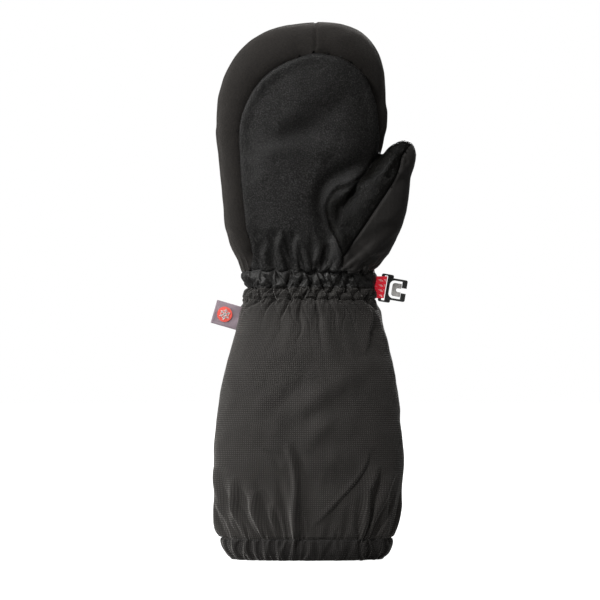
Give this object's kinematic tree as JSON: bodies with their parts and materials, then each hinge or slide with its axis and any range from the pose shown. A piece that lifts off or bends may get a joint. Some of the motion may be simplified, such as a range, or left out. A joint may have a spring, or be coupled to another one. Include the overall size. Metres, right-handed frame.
{
  "type": "ski mitten",
  "caption": "Padded child's ski mitten with a leather palm, a gathered elastic wrist, a long gauntlet with an elastic hem, a webbing tab with a snap clip and a woven side label.",
  "frame": {"origin": "centre of the whole mitten's footprint, at the level of the gauntlet's hem", "axes": "+Z from the hem to the fingertips, the palm faces -Y, the thumb is on the +X side"},
  "size_m": [0.131, 0.0542, 0.3434],
  "materials": {
    "palm_leather": "pebbled matt with a soft sheen",
    "softshell": "matt brushed weave",
    "gauntlet_weave": "matt grid weave with a faint sheen",
    "insulation": "soft fibre padding",
    "membrane": "thin matt film",
    "fleece": "brushed fleece",
    "taffeta": "smooth plain weave",
    "elastic": "ribbed elastic",
    "red_webbing": "ribbed webbing with a woven white pattern",
    "clip_plastic": "moulded satin",
    "tongue_plastic": "moulded satin",
    "label_ribbon": "satin ribbon",
    "label_print": "flat print"
  },
  "bodies": {
    "gauntlet": {"gauntlet_front_panel": "gauntlet_weave", "gauntlet_back_panel": "gauntlet_weave", "gauntlet_lining": "taffeta", "hem_casing": "gauntlet_weave", "hem_elastic": "elastic", "wrist_ruche_lower": "gauntlet_weave", "wrist_elastic": "elastic", "wrist_lining": "taffeta"},
    "hand": {"palm_leather_panel": "palm_leather", "finger_strip_outer": "softshell", "finger_strip_inner": "softshell", "back_of_hand_panel": "softshell", "palm_insulation": "insulation", "back_insulation": "insulation", "hand_membrane": "membrane", "hand_lining": "fleece", "wrist_ruche_upper": "palm_leather", "thumb_gusset": "palm_leather"},
    "thumb": {"thumb_leather_panel": "palm_leather", "thumb_back_panel": "softshell", "thumb_insulation": "insulation", "thumb_membrane": "membrane", "thumb_lining": "fleece"},
    "tab": {"webbing_tab": "red_webbing"},
    "clip": {"clip_frame": "clip_plastic"},
    "tongue": {"clip_tongue": "tongue_plastic"},
    "label": {"label_ribbon": "label_ribbon", "label_print": "label_print"}
  },
  "joints": [
    {"name": "wrist_bend", "type": "hinge", "parent": "gauntlet", "child": "hand", "pos_m": [0, 0, 0.175], "axis": [1, 0, 0], "range_deg": [-40, 40], "stiffness_Nm_per_rad": 0.4, "deforming": ["wrist_ruche_lower", "wrist_ruche_upper", "wrist_elastic", "wrist_lining"]},
    {"name": "thumb_fold", "type": "hinge", "parent": "hand", "child": "thumb", "pos_m": [0.021, -0.014, 0.1904], "axis": [-0.3232, 0, -0.9463], "range_deg": [0, 25], "stiffness_Nm_per_rad": 0.2, "deforming": ["thumb_gusset"]},
    {"name": "tab_swing", "type": "hinge", "parent": "gauntlet", "child": "tab", "pos_m": [0.04, 0, 0.174], "axis": [0, 0, 1], "range_deg": [-45, 45], "stiffness_Nm_per_rad": 0.01},
    {"name": "clip_swivel", "type": "hinge", "parent": "tab", "child": "clip", "pos_m": [0.0444, 0, 0.1739], "axis": [0.165, 0, 0.9863], "range_deg": [-40, 40]},
    {"name": "tongue_flex", "type": "hinge", "parent": "clip", "child": "tongue", "pos_m": [0.05683, 0, 0.17182], "axis": [0.165, 0, 0.9863], "range_deg": [0, 10], "stiffness_Nm_per_rad": 0.002},
    {"name": "label_flex", "type": "hinge", "parent": "gauntlet", "child": "label", "pos_m": [-0.0466, 0, 0.15395], "axis": [0.2782, 0, 0.9605], "range_deg": [-30, 30], "stiffness_Nm_per_rad": 0.003}
  ]
}
